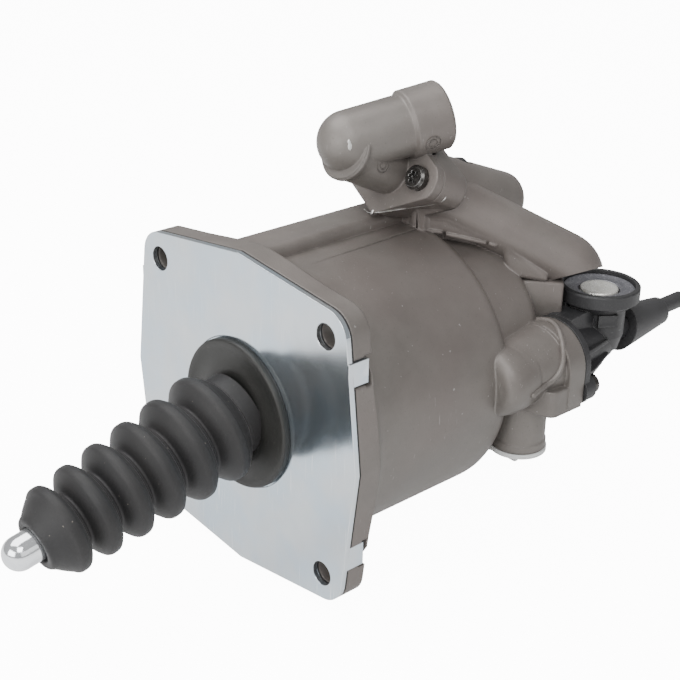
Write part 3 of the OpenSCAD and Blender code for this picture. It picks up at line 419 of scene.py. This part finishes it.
def makeBellows():
    b = bellows
    tilt = math.radians(b["tilt"])
    axis = (0, -math.cos(tilt), -math.sin(tilt))
    bm = spinLoop(bellowsProfile(), (0, 0, b["rise"]), axis, b["steps"])
    obj = finishPiece("bellows", bm, finish["bootRubber"], "rod_body", 50.0)
    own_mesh(obj)
    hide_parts("boot")


# (radius, y) points from the neck out to the rim, and from the rim back through the plate's hole
bootFlange = dict(
    steps=128, rim=0.032, rimRound=0.0012, face=-0.003,
    front=((0.0125, -0.0026), (0.0185, -0.0026), (0.0205, -0.0029), (0.0215, -0.0025), (0.0280, -0.0025), (0.0290, -0.0029)),
    back=((0.0320, -0.0006), (0.0316, 0.00038), (0.02295, 0.00038), (0.02295, 0.00305), (0.0250, 0.00305),
          (0.0242, 0.00465), (0.0125, 0.00465)))


def makeBootFlange():
    f = bootFlange
    edge = arcPoints((f["rim"] - f["rimRound"], f["face"] + f["rimRound"]), f["rimRound"], 270, 360, 6)
    bm = spinLoop([*f["front"], *edge, *f["back"]], (0, 0, 0), (0, 1, 0), f["steps"])
    obj = finishPiece("bootFlange", bm, finish["flangeRubber"], "housing_body", 40.0)
    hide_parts("boot")


makeBellows()
makeBootFlange()
print("boot made")


tube = dict(root=(0, 0.100, 0.0766), plan=45.0, dip=25.4, radius=0.0117, slack=0.0003, rootEnd=0.006,
            boreRadius=0.006, boreStart=0.02, boreEnd=0.075, cutNear=(606.0, 266.0), cutFar=(556.0, 279.0))
bossFront = dict(plane=0.087, slack=0.00002, moved=0.0922, low=0.052, left=-0.0032, right=0.0112,
                 cornerFrom=0.010, corner=0.0072)
castingFold = 28.0  # degrees, above which an edge of the casting stays sharp

# webs: (run along the tube, height) outlines, between two distances from the tube's middle plane
skirt = dict(near=0.0105, far=-0.0090, round=0.0022,
             outline=((-0.003, 0.0602), (0.012, 0.0585), (0.023, 0.0563), (0.031, 0.0548), (0.037, 0.0520),
                      (0.040, 0.0400), (0.058, 0.0372), (0.058, 0.0420), (0.040, 0.0560), (-0.003, 0.0740)))
rearWeb = dict(near=-0.0090, far=-0.0165, round=0.0020,
               outline=((0.018, -0.0020), (0.052, 0.0020), (0.0645, 0.0020), (0.0645, 0.0372), (0.020, 0.0400)))
midWeb = dict(near=-0.0020, far=-0.0100, round=0.0010,
              outline=((0.018, 0.0020), (0.052, 0.0060), (0.0600, 0.0150), (0.0600, 0.0372), (0.020, 0.0390)))
ledgeWall = dict(near=0.0095, far=-0.0060, round=0.0012,
                 outline=((0.030, 0.0120), (0.0560, 0.0120), (0.0652, 0.0200), (0.0652, 0.0374), (0.030, 0.0384)))
blockEnd = dict(center=(0.0565, 0, 0.0052), steps=72,
                profile=((0.00001, 0.0885), (0.0098, 0.0885), (0.0120, 0.0890), (0.0136, 0.0903), (0.0146, 0.0925),
                         (0.0151, 0.0955), (0.0152, 0.1000), (0.0148, 0.1060), (0.00001, 0.1060)))
flashStrips = dict(near=0.0112, deep=0.004, wide=0.0016, round=0.0005,
                   lines=(((0.000, 0.0606), (0.011, 0.0592)), ((0.0125, 0.0586), (0.0300, 0.0552)),
                          ((0.0310, 0.0550), (0.0345, 0.0541))))


def tubeFrame():
    # the tube's root in plan, its run in plan, and the level direction across it
    plan = math.radians(tube["plan"])
    along = Vector((math.cos(plan), math.sin(plan), 0))
    across = Vector((math.sin(plan), -math.cos(plan), 0))
    return Vector((0, tube["root"][1], 0)), along, across


def slab(bm, outline, near, far, rounding, segments=3):
    # an upright slab in the tube's frame, from (run, height) points, with rounded edges
    origin, along, across = tubeFrame()
    up = Vector((0, 0, 1))
    face = bm.faces.new([bm.verts.new(origin + along * run + up * height + across * far) for run, height in outline])
    grown = thicken(bm, face, across * (near - far))
    edges = list({e for v in grown for e in v.link_edges} | set(face.edges))
    bmesh.ops.bevel(bm, geom=edges, offset=rounding, segments=segments, affect="EDGES", profile=0.5,
                    material=-1, clamp_overlap=True)


def viewAxes():
    # the camera's directions to the right, up and back
    azimuth, elevation, roll = (math.radians(view[key]) for key in ("azimuth", "elevation", "roll"))
    back = Vector((math.sin(azimuth) * math.cos(elevation), -math.cos(azimuth) * math.cos(elevation), math.sin(elevation)))
    right = Vector((math.cos(azimuth), math.sin(azimuth), 0))
    up = back.cross(right)
    return math.cos(roll) * right + math.sin(roll) * up, math.cos(roll) * up - math.sin(roll) * right, back


def pixelRay(px, py):
    # the direction from the camera through a point of the square picture
    right, up, back = viewAxes()
    half = view["picture"] / 2
    scale = view["sensor"] / view["picture"] / view["lens"]
    return ((px - half) * scale * right + (half - py) * scale * up - back).normalized()


def moveBossFront(bm):
    b = bossFront
    for vert in bm.verts:
        x, y, z = vert.co
        if abs(y - b["plane"]) < b["slack"] and b["left"] < x < b["right"] and z > b["low"]:
            vert.co.y = b["moved"]
            if x > b["cornerFrom"]:
                vert.co.x = b["corner"]


def cutTubeEnd(bm):
    # a flat through the camera and two points of the picture, so that the tube's end clears the cup
    along = tubeFrame()[1]
    dip = math.radians(tube["dip"])
    axis = along * math.cos(dip) - Vector((0, 0, 1)) * math.sin(dip)
    root = Vector(tube["root"])

    def within(face, start, end, radius):
        runs = [(vert, (vert.co - root).dot(axis)) for vert in face.verts]
        return all(start < run < end and (vert.co - root - axis * run).length < radius for vert, run in runs)

    ours = [f for f in bm.faces if within(f, tube["rootEnd"], math.inf, tube["radius"] + tube["slack"])]
    bore = {f for f in ours if within(f, tube["boreStart"], tube["boreEnd"], tube["boreRadius"])}
    skin = [f for f in ours if f not in bore]
    normal = pixelRay(*tube["cutNear"]).cross(pixelRay(*tube["cutFar"])).normalized()
    if normal.z > 0:
        normal = -normal
    geom = list({v for f in skin for v in f.verts} | {e for f in skin for e in f.edges} | set(skin))
    cut = bmesh.ops.bisect_plane(bm, geom=geom, plane_co=view["cameraPlace"], plane_no=normal, clear_outer=True)
    rim = [e for e in cut["geom_cut"] if isinstance(e, bmesh.types.BMEdge) and e.is_boundary]
    bmesh.ops.holes_fill(bm, edges=rim, sides=0)
    print("tube faces:", len(skin), "bore faces:", len(bore), "cut edges:", len(rim))


def makeWebs():
    webs = bmesh.new()
    for web in (skirt, rearWeb, midWeb, ledgeWall):
        slab(webs, web["outline"], web["near"], web["far"], web["round"])
    pour(spinLoop(blockEnd["profile"], blockEnd["center"], (0, 1, 0), blockEnd["steps"]), webs)
    f = flashStrips
    for start, end in f["lines"]:
        run = Vector((end[0] - start[0], end[1] - start[1])).normalized()
        side = Vector((-run.y, run.x)) * f["wide"] / 2
        box = [(start[0] - side.x, start[1] - side.y), (end[0] - side.x, end[1] - side.y),
               (end[0] + side.x, end[1] + side.y), (start[0] + side.x, start[1] + side.y)]
        slab(webs, box, f["near"], f["near"] - f["deep"], f["round"], 2)
    bmesh.ops.recalc_face_normals(webs, faces=webs.faces)
    shadeSmooth(webs, 50.0)
    return webs


def makeCasting():
    # the casting's own triangles, changed at the boss and the tube's end, and the cast webs
    bm = bmesh.new()
    bm.from_mesh(nodes["housing"].data)
    bmesh.ops.remove_doubles(bm, verts=bm.verts, dist=1e-6)
    moveBossFront(bm)
    cutTubeEnd(bm)
    shadeSmooth(bm, castingFold)
    pour(makeWebs(), bm)
    obj = addPiece("housingCast", bm, finish["castAluminium"], "housing_body")
    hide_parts("housing")


makeCasting()
print("casting made")


ventNeck = dict(
    center=(0.0556, 0.1624, 0), steps=80,
    profile=((0.0060, 0.0050), (0.0104, 0.0060), (0.0112, 0.0090), (0.0116, 0.0130), (0.0119, 0.0180), (0.0120, 0.0236),
             (0.0125, 0.0239), (0.0125, 0.0247), (0.0121, 0.0250), (0.0121, 0.0254), (0.0127, 0.0257), (0.0127, 0.0264),
             (0.0122, 0.0268), (0.0122, 0.0278), (0.0060, 0.0278)))
ventSkirt = dict(center=(0.0550, 0.1620, 0), outer=0.0183, inner=0.0166, low=0.0158, high=0.0262,
                 start=178.0, end=256.0, count=18)
ventCatch = dict(angle=-34.0, radius=0.0122, width=0.0088, thick=0.006, low=0.0166, high=0.0222, proud=0.0015,
                 inset=0.0014, sink=0.0007)
ventRibs = dict(angles=(22.0, -12.0, -46.0), thick=0.0015, middle=(0.057, 0, 0.006),
                outline=((0.1335, 0.0085), (0.1335, 0.0176), (0.1400, 0.0165), (0.1560, 0.0112), (0.1560, 0.0085)))


def addVentSkirt(bm):
    # the curved wall at the left of the cup's window
    s = ventSkirt
    turns = [math.radians(s["start"] + (s["end"] - s["start"]) * i / s["count"]) for i in range(s["count"] + 1)]
    path = [(s["outer"], turn) for turn in turns] + [(s["inner"], turn) for turn in reversed(turns)]
    verts = [bm.verts.new(Vector(s["center"]) + Vector((math.cos(turn) * radius, math.sin(turn) * radius, s["low"])))
             for radius, turn in path]
    thicken(bm, bm.faces.new(verts), (0, 0, s["high"] - s["low"]))


def addVentCatch(bm):
    # a small block with a sunk front
    c = ventCatch
    angle = math.radians(c["angle"])
    out = Vector((math.cos(angle), math.sin(angle), 0))
    side = Vector((-math.sin(angle), math.cos(angle), 0))
    middle = Vector(ventNeck["center"]) + out * (c["radius"] + c["proud"] - c["thick"] / 2)
    middle += Vector((0, 0, (c["low"] + c["high"]) / 2))
    turn = Matrix((side, Vector((0, 0, 1)), out)).transposed().to_4x4()
    size = Matrix.Diagonal((c["width"], c["high"] - c["low"], c["thick"], 1))
    made = bmesh.ops.create_cube(bm, size=1.0, matrix=Matrix.Translation(middle) @ turn @ size)
    front = max({f for v in made["verts"] for f in v.link_faces}, key=lambda f: f.calc_center_median().dot(out))
    bmesh.ops.inset_region(bm, faces=[front], thickness=c["inset"], depth=0.0)
    bmesh.ops.translate(bm, verts=front.verts, vec=-out * c["sink"])


def addVentRibs(bm):
    # thin ribs from the fixing plate to the neck
    r = ventRibs
    for degrees in r["angles"]:
        turned = math.radians(degrees)
        radial = Vector((math.cos(turned), 0, math.sin(turned)))
        thick = Vector((-math.sin(turned), 0, math.cos(turned))) * r["thick"]
        base = Vector(r["middle"]) - thick / 2
        rib = bm.faces.new([bm.verts.new(base + Vector((0, y, 0)) + radial * radius) for y, radius in r["outline"]])
        thicken(bm, rib, thick)


def makeVentTrim():
    bm = spinLoop(ventNeck["profile"], ventNeck["center"], (0, 0, 1), ventNeck["steps"])
    addVentSkirt(bm)
    addVentCatch(bm)
    addVentRibs(bm)
    obj = finishPiece("ventTrim", bm, finish["blackPlastic"], "housing_body", 40.0)


ventFace = dict(
    center=(0.0550, 0.1620, 0), steps=96,
    ring=((0.0092, 0.0272), (0.0092, 0.0296), (0.0096, 0.0300), (0.0104, 0.0299), (0.0120, 0.0301), (0.0146, 0.0302),
          (0.0152, 0.0306), (0.0157, 0.0306), (0.01595, 0.0302), (0.01595, 0.0272)),
    disc=((0.00001, 0.0272), (0.00001, 0.0308), (0.0040, 0.0309), (0.0062, 0.0308), (0.0076, 0.0307), (0.0083, 0.0304),
          (0.0086, 0.0299), (0.0086, 0.0272)))


def makeVentFace():
    ring = spinLoop(ventFace["ring"], ventFace["center"], (0, 0, 1), ventFace["steps"])
    obj = finishPiece("ventRing", ring, finish["ringMetal"], "housing_body", 40.0)
    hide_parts("vent_ring")
    disc = spinLoop(ventFace["disc"], ventFace["center"], (0, 0, 1), ventFace["steps"])
    obj = finishPiece("ventButton", disc, finish["buttonMetal"], "housing_body", 40.0)
    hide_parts("vent_button")


makeVentTrim()
makeVentFace()
print("vent trimmed")


# marks: (across, down) points of the picture, and sizes in metres
ejectorRings = dict(wire=0.00022, sides=8, steps=40,
                    rings=((383.3, 165.0, 0.0032), (383.3, 165.0, 0.0017), (433.3, 143.3, 0.0033), (433.3, 143.3, 0.0018)))
# bright spots: partly chipped paint, partly a painted highlight where a dent catches light
chipsAndGlints = dict(narrow=0.45, thick=0.00018, ragged=0.16, ripple=(9000, 7000),
             places=((350.0, 146.0, 0.0017), (349.0, 141.5, 0.0009), (391.0, 211.0, 0.0009), (372.0, 212.0, 0.0011)))
# a bright line along the elbow's lower edge: partly a worn seam, partly a painted highlight
seamLine = dict(radius=0.00034, points=((364, 209), (368, 212.5), (376, 212.6), (390, 210.8), (404, 208.6), (418, 206.6),
                                        (431, 204.6), (442, 201.5), (446, 196.5)))
blockRidge = dict(radius=0.0014, points=((536, 320), (543, 320), (551, 322), (557, 328), (561, 338), (563, 350),
                                         (563, 361), (560, 371), (554, 379), (546, 385), (538, 391), (531, 397)))
plugStrap = dict(level=-0.0385, radius=0.0016,
                 points=((486, 446.5), (493, 448.4), (500, 450.0), (506, 453.0), (511, 457.0), (517, 460.0)))


def surfaceOf(*names):
    # one search tree over the faces of several pieces or nodes
    verts, faces = [], []
    for name in names:
        mesh = bpy.data.objects[name].data if name in bpy.data.objects else nodes[name].data
        start = len(verts)
        verts += [v.co.copy() for v in mesh.vertices]
        faces += [[start + i for i in p.vertices] for p in mesh.polygons]
    return BVHTree.FromPolygons(verts, faces)


def underPixel(tree, px, py):
    return tree.ray_cast(Vector(view["cameraPlace"]), pixelRay(px, py))[:2]


def bead(bm, points, radius, flat=1.0, sides=10):
    # a thin rounded cord through the points, smaller and closed at both ends
    rings = []
    for i, point in enumerate(points):
        run = (points[min(i + 1, len(points) - 1)] - points[max(i - 1, 0)]).normalized()
        side = run.cross(Vector((0, 0, 1))).normalized()
        up = side.cross(run)
        small = radius * (0.45 if i in (0, len(points) - 1) else 1.0)
        rings.append([bm.verts.new(point + (side * math.cos(a) + up * math.sin(a) * flat) * small)
                      for a in (2 * math.pi * k / sides for k in range(sides))])
    for first, second in zip(rings, rings[1:]):
        for k in range(sides):
            bm.faces.new((first[k], first[(k + 1) % sides], second[(k + 1) % sides], second[k]))
    bm.faces.new(rings[0])
    bm.faces.new(rings[-1])


def smoothPath(points, steps=5):
    # extra points between the given ones, on a smooth curve
    path = []
    for i in range(len(points) - 1):
        before, start = points[max(i - 1, 0)], points[i]
        end, after = points[i + 1], points[min(i + 2, len(points) - 1)]
        for k in range(steps):
            t = k / steps
            path.append(0.5 * ((2 * start) + (end - before) * t + (2 * before - 5 * start + 4 * end - after) * t * t
                               + (3 * start - before - 3 * end + after) * t ** 3))
    return path + [points[-1]]


def lineOn(tree, line, steps=5):
    # a smooth path over the surface below the line's points
    places = [underPixel(tree, px, py)[0] for px, py in line["points"]]
    return smoothPath([place for place in places if place], steps)


def makeCastMarks(tree):
    # the block's soft ridge and the ejector rings, on the surface that carries them
    bm = bmesh.new()
    bead(bm, lineOn(tree, blockRidge), blockRidge["radius"])
    wire, sides = ejectorRings["wire"], ejectorRings["sides"]
    for px, py, radius in ejectorRings["rings"]:
        place, normal = underPixel(tree, px, py)
        turns = [2 * math.pi * k / sides for k in range(sides)]
        loop = [(radius + wire * math.cos(a), wire * math.sin(a)) for a in turns]
        pour(spinLoop(loop, place, normal, ejectorRings["steps"], normal.orthogonal()), bm)
    obj = finishPiece("castMarks", bm, finish["castAluminium"], "housing_body", 50.0)


def makeBrightMarks(tree):
    # the seam under the elbow and ragged chipped spots, bright as bare metal and partly painted highlights of an edge
    # and a dent, on the surface that carries them
    bm = bmesh.new()
    bead(bm, lineOn(tree, seamLine, 3), seamLine["radius"], 0.8, 8)
    for px, py, size in chipsAndGlints["places"]:
        place, normal = underPixel(tree, px, py)
        turn = normal.to_track_quat("Z", "Y").to_matrix().to_4x4()
        shape = Matrix.Translation(place) @ turn @ Matrix.Diagonal((size * chipsAndGlints["narrow"], size, chipsAndGlints["thick"], 1))
        made = bmesh.ops.create_icosphere(bm, subdivisions=2, radius=1.0, matrix=shape)
        first, second = chipsAndGlints["ripple"]
        for vert in made["verts"]:
            ragged = Vector((math.sin(vert.co.z * first), math.cos(vert.co.x * second), 0))
            vert.co += (turn.to_3x3() @ ragged) * size * chipsAndGlints["ragged"]
    obj = finishPiece("brightMarks", bm, finish["bareMetalAndGlint"], "housing_body", 50.0)


def makePlugStrap():
    eye = Vector(view["cameraPlace"])
    rays = [pixelRay(px, py) for px, py in plugStrap["points"]]
    points = [eye + ray * ((plugStrap["level"] - eye.z) / ray.z) for ray in rays]
    bm = bmesh.new()
    bead(bm, smoothPath(points, 4), plugStrap["radius"], 0.5, 12)
    obj = finishPiece("plugStrap", bm, finish["plugPlastic"], "plug_body", 50.0)


castSurface = surfaceOf("housingCast", "elbow")
makeCastMarks(castSurface)
makeBrightMarks(castSurface)
makePlugStrap()
print("marks made")


studio = dict(
    floorHeight=-0.0712, floorSize=4.0, floorColor=(0.62, 0.62, 0.62), floorRoughness=0.9,
    floorGlow=12.0, floorReturn=0.04, floorMirror=0.62, skyLow=0.40, skyHigh=0.44)
lamps = dict(
    lightAbove=dict(place=(-0.25, -0.15, 0.75), target=(0, -0.05, -0.05), size=(0.7, 0.7), power=7.0),
    lightFront=dict(place=(0.1, -1.0, 0.35), target=(0, 0, 0), size=(0.8, 0.5), power=7.0),
    lightRight=dict(place=(1.0, -0.1, 0.35), target=(0, 0.05, 0), size=(0.7, 0.5), power=1.0),
    lightBeside=dict(place=(0.55, -0.35, 0.75), target=(0, 0.03, 0.02), size=(0.5, 0.5), power=5.0))


def placeCamera():
    data = bpy.data.cameras.new("camera")
    data.sensor_width = view["sensor"]
    data.lens = view["lens"]
    data.clip_start = 0.01
    camera = bpy.data.objects.new("camera", data)
    camera.matrix_world = Matrix.Translation(view["cameraPlace"]) @ Matrix(viewAxes()).transposed().to_4x4()
    bpy.context.scene.collection.objects.link(camera)
    bpy.context.scene.camera = camera


def addSoftLight(name, place, target, size, power):
    data = bpy.data.lights.new(name, "AREA")
    data.shape = "RECTANGLE"
    data.size, data.size_y = size
    data.energy = power
    lamp = bpy.data.objects.new(name, data)
    direction = Vector(target) - Vector(place)
    lamp.matrix_world = Matrix.Translation(place) @ direction.to_track_quat("-Z", "Y").to_matrix().to_4x4()
    bpy.context.scene.collection.objects.link(lamp)


def layFloor():
    bm = bmesh.new()
    bmesh.ops.create_grid(bm, x_segments=1, y_segments=1, size=studio["floorSize"])
    bmesh.ops.translate(bm, verts=bm.verts, vec=(0, 0, studio["floorHeight"]))
    mesh = bpy.data.meshes.new("floor")
    bm.to_mesh(mesh)
    bm.free()
    floor = bpy.data.objects.new("floor", mesh)
    bpy.context.scene.collection.objects.link(floor)
    paint = bpy.data.materials.new("floorPaint")
    paint.use_nodes = True
    tree = paint.node_tree
    shader = tree.nodes["Principled BSDF"]
    shader.inputs["Base Color"].default_value = (*studio["floorColor"], 1)
    shader.inputs["Roughness"].default_value = studio["floorRoughness"]
    shader.inputs["Emission Color"].default_value = (1, 1, 1, 1)
    rays = newNode(tree, "ShaderNodeLightPath")
    # white to the camera, softer as a reflection, and little light up on the part
    mirrored = spread(tree, rays.outputs["Is Glossy Ray"], studio["floorReturn"], studio["floorMirror"], 0.0, 1.0)
    seen = spread(tree, rays.outputs["Is Camera Ray"], 0.0, studio["floorGlow"], 0.0, 1.0)
    tree.links.new(calculate(tree, "ADD", mirrored, seen), shader.inputs["Emission Strength"])
    dress(floor, paint)


def hangSky():
    # a soft tent, nearly even from the sides to overhead
    world = bpy.data.worlds.new("studio")
    world.use_nodes = True
    tree = world.node_tree
    background = tree.nodes["Background"]
    background.inputs["Color"].default_value = (1, 1, 1, 1)
    coords = newNode(tree, "ShaderNodeTexCoord")
    split = newNode(tree, "ShaderNodeSeparateXYZ")
    tree.links.new(coords.outputs["Generated"], split.inputs[0])
    height = spread(tree, split.outputs["Z"], studio["skyLow"], studio["skyHigh"], 0.0, 0.85)
    tree.links.new(height, background.inputs["Strength"])
    bpy.context.scene.world = world


placeCamera()
layFloor()
hangSky()
for lampName, lamp in lamps.items():
    addSoftLight(lampName, **lamp)
print("studio ready")
